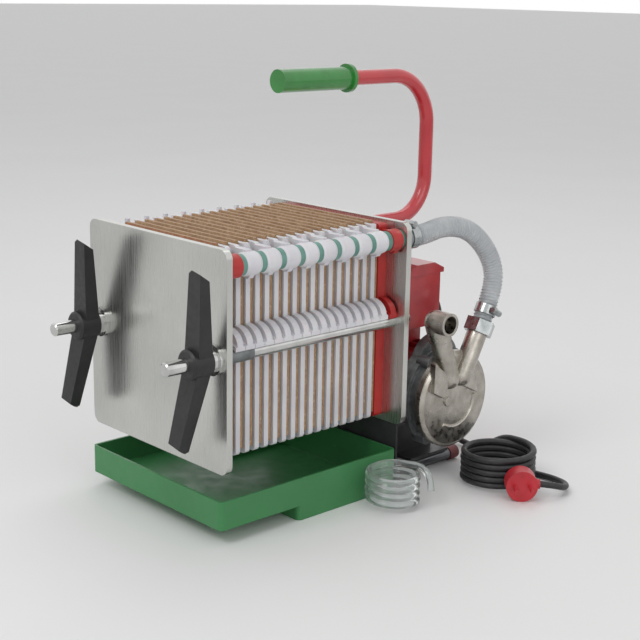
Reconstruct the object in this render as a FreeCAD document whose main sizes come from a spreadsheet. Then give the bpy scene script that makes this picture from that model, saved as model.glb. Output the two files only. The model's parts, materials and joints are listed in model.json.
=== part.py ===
"""Plate filter press with its pump, drip tray, carrying handle and hoses.

The origin is on the floor, in the middle of the deep part of the drip tray's underside.
+X is to the right, +Y runs back along the tie rods to the pump, and +Z is up.
Every size is in millimetres. The filter plates and sheets are squeezed between a
fixed rear end plate and a front end plate that slides on the two tie rods.
The pieces are drawn with y counted from the outer face of the front end plate, and
each sub-part's Placement then carries it to the origin.
"""
import FreeCAD, Part
import math
import os
import re

import Sketcher

SIZES = {
    # end plates: pressed steel pans, open towards the back
    "end_wide": 260, "end_low": 82, "end_high": 254, "end_sheet": 2.5, "end_rim": 8, "end_round": 11,
    "front_head_thick": 17.5, "rear_head_thick": 14,
    # filter plates and the sheets between them
    "plate_wide": 193, "plate_low": 88, "plate_high": 244, "plate_thick": 10, "plate_count": 17,
    "plate_lip": 6.5, "plate_band": 7, "plate_round": 5, "sheet_thick": 4, "sheet_over": 3,
    "sheet_inset": 2.5, "sheet_notch_wide": 9, "sheet_notch_high": 13,
    # hooks that hang the plates on the rods
    "hook_thick": 8.5, "hook_high": 29, "hook_low": 5.5, "hook_reach": 9.5, "hook_root": 1, "foot_gap": 0.6,
    "foot_high": 2.5, "foot_rise": 9, "foot_start": 3,
    # port collars, which form a pipe along each top corner
    "port_x": 114, "port_z": 314.5, "collar_radius": 13.5, "collar_end": 12, "collar_taper": 3, "port_radius": 8,
    "gasket_thick": 7, "gasket_radius": 12, "end_gasket": 3, "nub_wide": 7, "nub_flare": 4, "nub_drop": 2.5, "tab_over": 2, "tab_deep": 9,
    "peg_wide": 5, "peg_thick": 4, "peg_over": 7,
    # tie rods and clamping nuts
    "rod_x": 108.5, "rod_z": 213, "rod_radius": 8, "rod_front": 68, "rod_back": 18, "rod_chamfer": 1.5,
    "sleeve_wall": 1.2, "sleeve_end": 50, "rod_play": 0.08, "snug": 0.05, "seat_gap": 0.3, "washer_radius": 18, "washer_thick": 5, "spacer_radius": 15.5,
    "spacer_long": 7, "hub_radius": 17, "hub_long": 27, "hub_chamfer": 2.5, "arm_half": 108, "arm_root": 27,
    "arm_tip": 20, "arm_corner": 5, "arm_thick": 13, "arm_sweep": 17, "arm_bevel": 9, "arm_middle": 19, "arm_tilt": 11, "nut_flats": 24, "nut_thick": 13,
    # drip tray
    "tray_wide": 254, "tray_front": 6, "tray_end": 272, "tray_rim": 52.4, "tray_step": 110,
    "tray_raise": 18.4, "tray_wall": 3, "tray_round": 6,
    # base
    "rail_x": 98, "rail_radius": 8, "rail_bore": 6.5, "rail_front": 124, "rail_end": 411,
    "cap_wall": 1, "cap_long": 12, "cap_end": 4, "channel_gap": 0.3,
    "beam_wide": 244, "beam_deep": 14, "beam_wall": 3,
    # carrying handle
    "bail_x": 42, "bail_radius": 9, "bail_wall": 1.5, "bail_foot": 322, "bail_back": 398, "bail_top": 502,
    "bail_low_bend": 52, "bail_high_bend": 62, "grip_front": 145, "grip_radius": 13.5, "grip_long": 113,
    "grip_end": 4, "grip_flange": 17, "grip_flange_thick": 5, "foot_disc_radius": 11, "foot_disc_thick": 3,
    # motor and pump, whose common axis runs along X
    "drive_y": 360, "drive_z": 110, "pump_drop": 7, "motor_radius": 50, "motor_start": -50, "motor_end": 98,
    "fin_high": 6, "fin_wide": 2, "fin_count": 18, "cowl_long": 34, "cowl_radius": 54, "cowl_round": 8,
    "bracket_thick": 14, "bracket_radius": 58, "bracket_top": 181, "bracket_half": 36,
    "casing_thick": 20, "casing_step": 4, "cover_radius": 62.5, "cover_thick": 8, "cover_gap": 6,
    "cover_bevel_high": 3, "boss_radius": 6, "boss_high": 5, "boss_aside": 14, "rib_circle": 36, "rib_radius": 2.5,
    "rib_sweep": 126, "rib_start": 34, "channel_high": 9, "lug_radius": 8, "lug_circle": 60,
    "foot_plate_thick": 4, "foot_plate_front": 322, "foot_plate_end": 392, "saddle_thick": 8,
    "box_front": 318, "box_end": 378, "box_left": 10, "box_right": 94, "box_low": 190, "box_high": 68,
    "lid_high": 14, "lid_over": 3, "neck_wide": 40,
    # pump ports
    "duct_out": 2, "duct_radius": 13, "duct_bore": 9, "duct_long": 58, "inlet_lean": 20.5, "outlet_lean": 28,
    "inlet_foot_y": 349, "inlet_foot_z": 132, "outlet_foot_y": 371, "outlet_foot_z": 132,
    "elbow_radius": 14.5, "elbow_bore": 11, "elbow_rise": 26, "elbow_reach": 24,
    "union_flats": 34, "union_long": 17, "barb_radius": 10.5, "barb_bore": 7, "barb_long": 28,
    # transfer hose and its clips
    "hose_radius": 13, "hose_bore": 10.6, "clip_wide": 12, "clip_thick": 1.2,
    # mains lead, plug and loose clear hose
    "lead_radius": 4, "coil_x": 192, "coil_y": 392, "coil_radius": 48, "coil_bore": 39.5, "coil_high": 48,
    "plug_radius": 19.5, "plug_thick": 22, "plug_x": 259, "plug_y": 358, "pin_radius": 2.4, "pin_long": 19,
    "pin_apart": 19, "clear_radius": 4.25, "ring_x": 161.4, "ring_y": 231, "ring_radius": 34,
    "ring_bore": 25.5, "ring_high": 48,
}

PITCH = "(plate_thick + sheet_thick)"
PACK_FRONT = "(end_sheet + front_head_thick)"
PACK_BACK = f"({PACK_FRONT} + plate_count*{PITCH} + sheet_thick)"
REAR_FACE = f"({PACK_BACK} + rear_head_thick)"
REAR_BACK = f"({REAR_FACE} + end_rim)"
CLAMP_START = "(washer_thick + spacer_long)"
HOOK_STEPS = 6

doc = FreeCAD.newDocument("filter_press")
sheet = doc.addObject("Spreadsheet::Sheet", "Sizes")
for row, (alias, value) in enumerate(SIZES.items(), start=1):
    sheet.set(f"A{row}", alias)
    sheet.set(f"B{row}", str(value))
    sheet.setAlias(f"B{row}", alias)
doc.recompute()

TURNS = {
    "x": FreeCAD.Rotation(FreeCAD.Vector(0, 1, 0), 90),
    "y": FreeCAD.Rotation(FreeCAD.Vector(1, 0, 0), -90),
    "z": FreeCAD.Rotation(),
}
subparts = []


# --- ways of making shapes ------------------------------------------------------------

def size(alias):
    """Value of one size, read from the sheet."""
    return float(sheet.get(alias))


def formula(text):
    """Point each size's name in a formula to its cell in the sheet."""
    return re.sub(r"[a-z_]+", lambda word: "Sizes." + word.group() if word.group() in SIZES else word.group(), text)


def bind(thing, **formulas):
    for name, text in formulas.items():
        thing.setExpression(name, formula(text))


def place(thing, x="0", y="0", z="0", turn=None):
    """Put a thing at a place given by formulas, turned as a rotation says."""
    if turn is not None:
        thing.Placement = FreeCAD.Placement(FreeCAD.Vector(), turn)
    for axis, text in zip("xyz", (x, y, z)):
        thing.setExpression(f"Placement.Base.{axis}", formula(text))
    return thing


def box(name, length, width, height, x="0", y="0", z="0"):
    thing = doc.addObject("Part::Box", name)
    bind(thing, Length=length, Width=width, Height=height)
    return place(thing, x, y, z)


def cylinder(name, radius, length, x="0", y="0", z="0", along="z"):
    thing = doc.addObject("Part::Cylinder", name)
    bind(thing, Radius=radius, Height=length)
    return place(thing, x, y, z, TURNS[along])


def cone(name, start_radius, end_radius, length, x="0", y="0", z="0", along="z"):
    thing = doc.addObject("Part::Cone", name)
    bind(thing, Radius1=start_radius, Radius2=end_radius, Height=length)
    return place(thing, x, y, z, TURNS[along])


def prism(name, flats, length, x="0", y="0", z="0", along="z"):
    """Hexagonal prism of a width across flats."""
    thing = doc.addObject("Part::Prism", name)
    thing.Polygon = 6
    bind(thing, Circumradius=f"{flats}/2/cos(30)", Height=length)
    return place(thing, x, y, z, TURNS[along])


def fuse(name, *things):
    joined = doc.addObject("Part::MultiFuse", name)
    joined.Shapes = list(things)
    joined.Refine = True
    return joined


def cut(name, base, *tools):
    left = doc.addObject("Part::Cut", name)
    left.Base = base
    left.Tool = tools[0] if len(tools) == 1 else fuse(name + "_tools", *tools)
    left.Refine = True
    return left


def common(name, first, second):
    shared = doc.addObject("Part::Common", name)
    shared.Base = first
    shared.Tool = second
    shared.Refine = True
    return shared


def group(name, *things):
    """Several solids that don't touch, kept as one sub-part."""
    held = doc.addObject("Part::Compound", name)
    held.Links = list(things)
    return held


def mirrored(name, source):
    """Copy of a thing on the other side of the middle plane."""
    copy = doc.addObject("Part::Mirroring", name)
    copy.Source = source
    copy.Normal = FreeCAD.Vector(1, 0, 0)
    return copy


def rounded(name, base, radius, picks):
    """Fillet on the edges that picks accepts."""
    doc.recompute()
    smooth = doc.addObject("Part::Fillet", name)
    smooth.Base = base
    smooth.Edges = [(at, radius, radius) for at, edge in enumerate(base.Shape.Edges, start=1) if picks(edge)]
    return smooth


def runs_along(axis):
    """Test for straight edges that lie along an axis."""
    def test(edge):
        if not isinstance(edge.Curve, Part.Line):
            return False
        return abs(getattr(edge.Curve.Direction, axis)) > 0.999
    return test


def plane_of(body, role):
    return next(item for item in body.Origin.OriginFeatures if item.Role == role)


def extrusion(name, role, corners, thickness, x="0", y="0", z="0", rounding=None):
    """Body padded both ways from a plane; corners are formulas in that plane's own directions."""
    body = doc.addObject("PartDesign::Body", name)
    sketch = body.newObject("Sketcher::SketchObject", name + "_outline")
    sketch.AttachmentSupport = [(plane_of(body, role), "")]
    sketch.MapMode = "FlatFace"
    total = len(corners)
    ring = [FreeCAD.Vector(math.cos(2*math.pi*n/total), math.sin(2*math.pi*n/total), 0) for n in range(total)]
    for n in range(total):
        sketch.addGeometry(Part.LineSegment(ring[n], ring[(n + 1) % total]))
    for n in range(total):
        sketch.addConstraint(Sketcher.Constraint("Coincident", n, 2, (n + 1) % total, 1))
    for n, (across, up) in enumerate(corners):
        for kind, text in (("DistanceX", across), ("DistanceY", up)):
            at = sketch.addConstraint(Sketcher.Constraint(kind, -1, 1, n, 1, 1.0))
            sketch.renameConstraint(at, f"{kind}_{n}")
            sketch.setExpression(f"Constraints.{kind}_{n}", formula(text))
    pad = body.newObject("PartDesign::Pad", name + "_pad")
    pad.Profile = sketch
    pad.SideType = "Symmetric"
    bind(pad, Length=thickness)
    if rounding:
        doc.recompute()
        normal = sketch.getGlobalPlacement().Rotation.multVec(FreeCAD.Vector(0, 0, 1))
        names = [f"Edge{at}" for at, edge in enumerate(pad.Shape.Edges, start=1)
                 if abs(edge.tangentAt(edge.FirstParameter).dot(normal)) > 0.999]
        smooth = body.newObject("PartDesign::Fillet", name + "_round")
        smooth.Base = (pad, names)
        bind(smooth, Radius=rounding)
    return place(body, x, y, z)


def rectangle(half_wide, low, high):
    """Corners of a rectangle that is centred left to right."""
    return [(f"-{half_wide}", low), (half_wide, low), (half_wide, high), (f"-{half_wide}", high)]


def subpart(node, thing, y="0"):
    """Name a sub-part and move it from the front end plate's face to the origin."""
    thing.Label = node
    thing.setExpression("Placement.Base.y", formula(f"{y} - (tray_step + tray_end)/2"))
    subparts.append(thing)
    return thing


def rounded_path(points, bends=()):
    """Straight runs joined by tangent arcs, and each arc's radius, which bends may give."""
    points = [FreeCAD.Vector(*point) for point in points]
    edges, radii, start = [], [], points[0]
    for n, (before, corner, after) in enumerate(zip(points, points[1:], points[2:])):
        back, ahead = before - corner, after - corner
        shorter = min(back.Length, ahead.Length)
        half_turn = (math.pi - back.getAngle(ahead))/2
        radius = bends[n] if bends else 0.45*shorter/math.tan(half_turn)
        reach = radius*math.tan(half_turn)
        enter = corner + back.normalize()*reach
        leave = corner + ahead.normalize()*reach
        inward = back + ahead
        middle = corner + inward.normalize()*(radius/math.cos(half_turn) - radius)
        edges += [Part.LineSegment(start, enter).toShape(), Part.Arc(enter, middle, leave).toShape()]
        radii.append(radius)
        start = leave
    edges.append(Part.LineSegment(start, points[-1]).toShape())
    return Part.Wire(edges), radii


def tube_along(wire, radius, bore=0):
    """Round tube swept along a wire."""
    first = wire.OrderedEdges[0]
    start, direction = first.valueAt(first.FirstParameter), first.tangentAt(first.FirstParameter)
    shape = wire.makePipeShell([Part.Wire(Part.makeCircle(radius, start, direction))], True, True)
    if bore:
        hole = wire.makePipeShell([Part.Wire(Part.makeCircle(bore, start, direction))], True, True)
        shape = shape.cut(hole)
    return shape


def feature(name, shape):
    thing = doc.addObject("Part::Feature", name)
    thing.Shape = shape
    return thing


# --- end plates and tie rods ------------------------------------------------------------

def end_plate(node, face_y, extra_holes=()):
    """Steel pan with rounded corners, open towards the back, with a hole for each tie rod."""
    half = "end_wide/2"
    blank = extrusion(node + "_blank", "XZ_Plane", rectangle(half, "end_low", "end_low + end_high"), "end_rim",
                      y=f"{face_y} + end_rim/2", rounding="end_round")
    inner = extrusion(node + "_inner", "XZ_Plane",
                      rectangle("(end_wide/2 - end_sheet)", "end_low + end_sheet", "end_low + end_high - end_sheet"),
                      "end_rim", y=f"{face_y} + end_rim/2 + end_sheet", rounding="(end_round - end_sheet)")
    holes = [cylinder(f"{node}_hole_{word}", "rod_radius + rod_play", "2*end_rim", f"{side}*rod_x",
                      f"{face_y} - end_rim/2", "rod_z", along="y")
             for word, side in (("right", "1"), ("left", "-1"))]
    return subpart(node, cut(node + "_pan", blank, inner, *holes, *extra_holes))


def tie_rod(node, side):
    long = f"(rod_front + {REAR_BACK} + rod_back)"
    bar = cylinder(node + "_bar", "rod_radius", f"{long} - 2*rod_chamfer", f"{side}*rod_x", "rod_chamfer - rod_front",
                   "rod_z", along="y")
    front = cone(node + "_front", "rod_radius - rod_chamfer", "rod_radius", "rod_chamfer", f"{side}*rod_x",
                 "-rod_front", "rod_z", along="y")
    back = cone(node + "_back", "rod_radius", "rod_radius - rod_chamfer", "rod_chamfer", f"{side}*rod_x",
                f"{REAR_BACK} + rod_back - rod_chamfer", "rod_z", along="y")
    return subpart(node, fuse(node + "_whole", bar, front, back))


def rod_sleeves():
    """Short tubes that cover the rods' threads behind the front end plate."""
    sleeves = []
    for word, side in (("right", "1"), ("left", "-1")):
        outer = cylinder(f"sleeve_{word}_outer", "rod_radius + sleeve_wall", "sleeve_end - end_rim - 0.5",
                         f"{side}*rod_x", "end_rim + 0.5", "rod_z", along="y")
        inner = cylinder(f"sleeve_{word}_inner", "rod_radius + snug", "sleeve_end", f"{side}*rod_x", "end_rim", "rod_z",
                         along="y")
        sleeves.append(cut(f"sleeve_{word}", outer, inner))
    return subpart("rod_sleeves", group("sleeves", *sleeves))


def rear_nuts():
    """Hexagonal nuts that fix the rods in the rear end plate."""
    nuts = []
    for word, side in (("right", "1"), ("left", "-1")):
        seat = f"{REAR_FACE} + end_sheet"
        nut = prism(f"rear_nut_{word}_blank", "nut_flats", "nut_thick", f"{side}*rod_x", seat, "rod_z", along="y")
        bore = cylinder(f"rear_nut_{word}_bore", "rod_radius + snug", "2*nut_thick", f"{side}*rod_x", seat, "rod_z",
                        along="y")
        nuts.append(cut(f"rear_nut_{word}", nut, bore))
    return subpart("rear_nuts", group("nuts", *nuts))


# --- filter plates, heads and sheets ----------------------------------------------------------

def hook(name, middle_y, rod_cover, thick="hook_thick", foot=f"({PITCH} - foot_gap)"):
    """Arm from a plate's side that rests on the rod: a curved fin and a wider saddle foot."""
    edge, outer = "(plate_wide/2 - hook_root)", "(rod_x + hook_reach)"
    low, shoulder = "(rod_z + hook_low)", "(rod_z + rod_radius + foot_high)"
    curve = [(f"({edge} + ({outer} - {edge})*cos({90*n/HOOK_STEPS}))",
              f"({shoulder} + (rod_z + hook_high - {shoulder})*sin({90*n/HOOK_STEPS}))")
             for n in range(HOOK_STEPS + 1)]
    fin = extrusion(name + "_fin", "XZ_Plane", [(edge, low), (outer, low)] + curve, thick, y=middle_y)
    start = "(plate_wide/2 + foot_start)"
    saddle = extrusion(name + "_foot", "XZ_Plane",
                       [(start, low), (outer, low), (outer, shoulder), (start, f"({shoulder} + foot_rise)")],
                       foot, y=middle_y)
    bed = cylinder(name + "_bed", rod_cover, f"2*{PITCH}", "rod_x", f"{middle_y} - {PITCH}", "rod_z", along="y")
    return cut(name, fuse(name + "_arm", fin, saddle), bed)


def collar(name, start_y, end_y, middle_y, tabs=True):
    """Pipe piece on a top corner with its neck and the nub under it; a plate's has tapered ends and two tabs."""
    long = f"({end_y} - {start_y})"
    inset = "collar_taper" if tabs else "0"
    barrel = [cylinder(name + "_barrel", "collar_radius", f"{long} - 2*{inset}", "port_x", f"{start_y} + {inset}",
                       "port_z", along="y")]
    edge = "(plate_wide/2 - 1)"
    neck = box(name + "_neck", f"port_x - {edge}", "plate_lip", "1.2*collar_radius", edge,
               f"{middle_y} - plate_lip/2", "port_z - 0.4*collar_radius")
    nub = extrusion(name + "_nub", "XZ_Plane",
                    [("port_x - nub_wide/2 - nub_flare", "port_z - 0.8*collar_radius"),
                     ("port_x - nub_wide/2", "port_z - collar_radius - nub_drop"),
                     ("port_x + nub_wide/2", "port_z - collar_radius - nub_drop"),
                     ("port_x + nub_wide/2 + nub_flare", "port_z - 0.8*collar_radius")],
                    "nub_wide", y=middle_y)
    solids = barrel + [neck, nub]
    if tabs:
        solids += [cone(name + "_front", "collar_end", "collar_radius", "collar_taper", "port_x", start_y, "port_z",
                        along="y"),
                   cone(name + "_back", "collar_radius", "collar_end", "collar_taper", "port_x",
                        f"{end_y} - collar_taper", "port_z", along="y"),
                   box(name + "_tab", f"port_x - {edge}", "tab_deep", "collar_radius + tab_over - port_radius", edge,
                       f"{middle_y} - tab_deep/2", "port_z + port_radius"),
                   box(name + "_peg", "peg_wide", "peg_thick", "collar_radius + peg_over - port_radius",
                       f"{edge} + peg_wide", f"{middle_y} + tab_deep/2", "port_z + port_radius")]
    bore = cylinder(name + "_bore", "port_radius", f"{long} + 2", "port_x", f"{start_y} - 1", "port_z", along="y")
    return cut(name, fuse(name + "_solid", *solids), bore)


def plate_core(name, middle_y, thick, lip):
    """Plate with a thinner outer band."""
    inner = extrusion(name + "_core", "XZ_Plane",
                      rectangle("(plate_wide/2 - plate_band)", "plate_low + plate_band",
                                "plate_low + plate_high - plate_band"),
                      thick, y=middle_y)
    outer = extrusion(name + "_band", "XZ_Plane",
                      rectangle("(plate_wide/2)", "plate_low", "plate_low + plate_high"),
                      lip, y=middle_y, rounding="plate_round")
    return inner, outer


def middle_of(number):
    """Place along the rods of a plate's middle; the first plate is number 0."""
    return f"({PACK_FRONT} + {number}*{PITCH} + sheet_thick + plate_thick/2)"


def last_plates():
    """Numbers of the last plate with its port on the right and on the left."""
    last = int(size("plate_count")) - 1
    return (last, last - 1) if last % 2 else (last - 1, last)


def filter_plate(number):
    """One plate; its port collar is on the right when its number is odd, or else on the left."""
    node = f"filter_plate_{number + 1:02d}"
    middle = middle_of(number)
    inner, outer = plate_core(node, middle, "plate_thick", "plate_lip")
    foot_start = size("end_sheet") + size("front_head_thick") + size("sheet_thick") + number*(
        size("plate_thick") + size("sheet_thick"))
    cover = "(rod_radius + sleeve_wall + snug)" if foot_start < size("sleeve_end") else "(rod_radius + snug)"
    right_hook = hook(node + "_hook", middle, cover)
    half_collar = f"({PITCH} - gasket_thick/2)"
    pipe = collar(node + "_collar", f"({middle} - {half_collar})", f"({middle} + {half_collar})", middle)
    if number % 2 == 0:
        pipe = mirrored(node + "_collar_left", pipe)
    left_hook = mirrored(node + "_hook_left", right_hook)
    return subpart(node, fuse(node + "_whole", inner, outer, right_hook, left_hook, pipe))


def filter_sheets():
    """Sheets of filter board with notched top corners, one in front of each plate and one behind the last."""
    half = "(plate_wide/2 - sheet_inset)"
    inner = f"({half} - sheet_notch_wide)"
    low, top = "(plate_low + plate_band)", "(plate_low + plate_high + sheet_over)"
    notch = f"({top} - sheet_notch_high)"
    outline = [(f"-{half}", low), (half, low), (half, notch), (inner, notch), (inner, top), (f"-{inner}", top),
               (f"-{inner}", notch), (f"-{half}", notch)]
    sheets = [extrusion(f"sheet_{n:02d}", "XZ_Plane", outline, "sheet_thick",
                        y=f"{PACK_FRONT} + {n}*{PITCH} + sheet_thick/2")
              for n in range(int(size("plate_count")) + 1)]
    return subpart("filter_sheets", group("sheets", *sheets))


def port_gaskets(node, first, last, mirror):
    """Rubber rings between the collars of one side, and one against the rear end plate."""
    places = [(f"({middle_of(number)} - gasket_thick/2)", "gasket_thick") for number in range(first, last + 2, 2)]
    places.append((f"({REAR_FACE} - end_gasket)", "end_gasket"))
    rings = []
    for n, (start, thick) in enumerate(places):
        ring = cylinder(f"{node}_{n}_ring", "gasket_radius", thick, "port_x", start, "port_z", along="y")
        bore = cylinder(f"{node}_{n}_bore", "port_radius", f"2*{thick}", "port_x", f"{start} - {thick}/2", "port_z",
                        along="y")
        rings.append(cut(f"{node}_{n}", ring, bore))
    rings = group(node + "_rings", *rings)
    return subpart(node, mirrored(node + "_mirrored", rings) if mirror else rings)


def head_block(node, start_y, thick, right, left):
    """Solid end block of the pack with both port collars, each from a start to an end."""
    middle = f"({start_y} + {thick}/2)"
    block = extrusion(node + "_block", "XZ_Plane",
                      rectangle("(plate_wide/2)", "plate_low", "plate_low + plate_high"), thick, y=middle,
                      rounding="plate_round")
    right_collar = collar(node + "_right", *right, middle, tabs=False)
    left_collar = mirrored(node + "_left", collar(node + "_left_source", *left, middle, tabs=False))
    return [block, right_collar, left_collar]


def gasket_room(name, start_y):
    """Space kept for the left gasket beside a head's short collar."""
    return mirrored(name, cylinder(name + "_disc", "gasket_radius + seat_gap", "gasket_thick", "port_x", start_y,
                                   "port_z", along="y"))


def front_head():
    """Front block; the end plate closes its port pipes."""
    right_end = f"({middle_of(0)} - gasket_thick/2)"
    left_end = f"({middle_of(-1)} - gasket_thick/2)"
    pieces = head_block("front_head", "end_sheet", "front_head_thick", ("end_sheet", right_end), ("end_sheet", left_end))
    room = gasket_room("front_head_room", left_end)
    return subpart("front_head", cut("front_head_whole", fuse("front_head_solid", *pieces), room))


def rear_head():
    """Rear block, hung on the rods, which leads both pipes to the rear end plate."""
    last_right, last_left = last_plates()
    right_start = f"({middle_of(last_right + 1)} + gasket_thick/2)"
    left_start = f"({middle_of(last_left + 1)} + gasket_thick/2)"
    end = f"({REAR_FACE} - end_gasket)"
    pieces = head_block("rear_head", PACK_BACK, "rear_head_thick", (right_start, end), (left_start, end))
    middle = f"({PACK_BACK} + rear_head_thick/2)"
    right_hook = hook("rear_head_hook", middle, "(rod_radius + snug)", "hook_thick", "(rear_head_thick - foot_gap)")
    left_hook = mirrored("rear_head_hook_left", right_hook)
    room = gasket_room("rear_head_room", f"({left_start} - gasket_thick)")
    solid = fuse("rear_head_solid", *pieces, right_hook, left_hook)
    return subpart("rear_head", cut("rear_head_whole", solid, room))


# --- clamping nuts ------------------------------------------------------------------------

def clamp_washer(node, side):
    """Stepped collar between a clamping nut and the front end plate."""
    x = f"{side}*rod_x"
    ring = cylinder(node + "_ring", "washer_radius", "washer_thick", x, "-washer_thick", "rod_z", along="y")
    spacer = cylinder(node + "_spacer", "spacer_radius", "spacer_long", x, f"-{CLAMP_START}", "rod_z", along="y")
    bore = cylinder(node + "_bore", "rod_radius + rod_play", f"2*{CLAMP_START}", x, f"-1.5*{CLAMP_START}", "rod_z",
                    along="y")
    return cut(node, fuse(node + "_stack", ring, spacer), bore)


def clamp_washers():
    return subpart("clamp_washers", group("washers", clamp_washer("washer_right", "1"), clamp_washer("washer_left", "-1")))


def clamp_handle(node, side):
    """Two-armed nut: arms swept forward from a hub, tapered, with bevelled ends."""
    back, front = f"(-{CLAMP_START})", f"(-{CLAMP_START} - arm_thick)"
    side_view = extrusion(node + "_sweep", "YZ_Plane",
                          [(back, "0"), (f"({back} - arm_sweep)", "(arm_half - arm_bevel)"),
                           (f"({front} - arm_sweep)", "arm_half"), (f"({back} - arm_middle)", "0"),
                           (f"({front} - arm_sweep)", "(arm_bevel - arm_half)"), (f"({back} - arm_sweep)", "-arm_half")],
                          "2*arm_root")
    front_view = extrusion(node + "_face", "XZ_Plane",
                           [("-arm_tip/2", "-arm_half"), ("(arm_tip/2 - arm_corner)", "-arm_half"),
                            ("arm_tip/2", "(arm_corner - arm_half)"), ("arm_root/2", "0"), ("arm_tip/2", "arm_half"),
                            ("(arm_corner - arm_tip/2)", "arm_half"), ("-arm_tip/2", "(arm_half - arm_corner)"),
                            ("-arm_root/2", "0")],
                           "8*(arm_sweep + arm_thick)")
    arms = common(node + "_arms", side_view, front_view)
    hub = cylinder(node + "_hub", "hub_radius", "hub_long - hub_chamfer", y=f"{back} - hub_long + hub_chamfer", along="y")
    nose = cone(node + "_nose", "hub_radius - hub_chamfer", "hub_radius", "hub_chamfer", y=f"{back} - hub_long", along="y")
    bore = cylinder(node + "_bore", "rod_radius + rod_play", "4*hub_long", y="-3*hub_long", along="y")
    whole = cut(node + "_upright", fuse(node + "_solid", arms, hub, nose), bore)
    turned = doc.addObject("Part::Compound", node + "_turned")
    turned.Links = [whole]
    place(turned, f"{side}*rod_x", "0", "rod_z", FreeCAD.Rotation(FreeCAD.Vector(0, 1, 0), size("arm_tilt")))
    return subpart(node, turned)


# --- drip tray ----------------------------------------------------------------------------

def drip_tray():
    """Open tray, deep behind the step, with two channels under it for the base rails."""
    long = "(tray_front + tray_end)"
    shallow = box("tray_shallow", "tray_wide", long, "tray_rim - tray_raise", "-tray_wide/2", "-tray_front", "tray_raise")
    deep = box("tray_deep", "tray_wide", "tray_end - tray_step", "tray_rim", "-tray_wide/2", "tray_step", "0")
    outer = rounded("tray_outer", fuse("tray_blank", shallow, deep), size("tray_round"), runs_along("z"))
    shallow_hollow = box("tray_shallow_hollow", "tray_wide - 2*tray_wall", f"{long} - 2*tray_wall", "tray_rim",
                         "tray_wall - tray_wide/2", "tray_wall - tray_front", "tray_raise + tray_wall")
    deep_hollow = box("tray_deep_hollow", "tray_wide - 2*tray_wall", "tray_end - tray_step - 2*tray_wall", "tray_rim",
                      "tray_wall - tray_wide/2", "tray_step + tray_wall", "tray_wall")
    hollow = rounded("tray_hollow", fuse("tray_hollow_blank", shallow_hollow, deep_hollow),
                     size("tray_round") - size("tray_wall"), runs_along("z"))
    rail_room = "(rail_radius + cap_wall + channel_gap)"
    humps, channels = [], []
    for word, side in (("right", "1"), ("left", "-1")):
        start = "(rail_front - cap_wall - channel_gap - 1)"
        humps.append(box(f"tray_hump_{word}", f"2*({rail_room} + tray_wall)", f"tray_end - {start} + tray_wall",
                         f"2*(rail_radius + cap_wall) + channel_gap + tray_wall",
                         f"{side}*rail_x - {rail_room} - tray_wall", f"{start} - tray_wall", "0"))
        channels.append(box(f"tray_channel_{word}", f"2*{rail_room}", f"tray_end - {start} + 5",
                            f"2*(rail_radius + cap_wall) + channel_gap", f"{side}*rail_x - {rail_room}", start, "0"))
    shell = cut("tray_shell", outer, cut("tray_room", hollow, *humps))
    return subpart("drip_tray", cut("tray_whole", shell, *channels))


# --- base ---------------------------------------------------------------------------------

def base_rails():
    rails = []
    for word, side in (("right", "1"), ("left", "-1")):
        tube = cylinder(f"rail_{word}_tube", "rail_radius", "rail_end - rail_front", f"{side}*rail_x", "rail_front",
                        "rail_radius + cap_wall", along="y")
        bore = cylinder(f"rail_{word}_bore", "rail_bore", "rail_end", f"{side}*rail_x", "rail_front - 1",
                        "rail_radius + cap_wall", along="y")
        rails.append(cut(f"rail_{word}", tube, bore))
    return subpart("base_rails", group("rails", *rails))


def rail_caps():
    """Plastic caps over both ends of each rail, which are the feet it stands on."""
    caps = []
    for word, side in (("right", "1"), ("left", "-1")):
        for end, outside, inside in (("front", "rail_front - cap_wall", "rail_front"),
                                     ("rear", "rail_end - cap_long", "rail_end - cap_long - 1")):
            name = f"cap_{word}_{end}"
            long = "cap_long" if end == "front" else "cap_long + cap_end"
            cup = cylinder(name + "_cup", "rail_radius + cap_wall", long, f"{side}*rail_x", outside,
                           "rail_radius + cap_wall", along="y")
            bore = cylinder(name + "_bore", "rail_radius + snug", "cap_long + 1", f"{side}*rail_x", inside,
                            "rail_radius + cap_wall", along="y")
            caps.append(cut(name, cup, bore))
    return subpart("rail_caps", group("caps", *caps))


def cross_beam():
    """Folded channel on the rails that carries the rear end plate on its top flange."""
    low = "(2*rail_radius + cap_wall)"
    profile = [(REAR_FACE, low), (f"({REAR_FACE} + beam_deep)", low),
               (f"({REAR_FACE} + beam_deep)", f"({low} + beam_wall)"),
               (f"({REAR_FACE} + beam_wall)", f"({low} + beam_wall)"),
               (f"({REAR_FACE} + beam_wall)", "(end_low - beam_wall)"),
               (f"({REAR_FACE} + beam_deep)", "(end_low - beam_wall)"),
               (f"({REAR_FACE} + beam_deep)", "end_low"), (REAR_FACE, "end_low")]
    return subpart("cross_beam", extrusion("beam", "YZ_Plane", profile, "beam_wide"))


# --- carrying handle -------------------------------------------------------------------------

def rear_face():
    """Place of the rear end plate's front face, in millimetres."""
    pack = size("plate_count")*(size("plate_thick") + size("sheet_thick")) + size("sheet_thick")
    return size("end_sheet") + size("front_head_thick") + pack + size("rear_head_thick")


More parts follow.
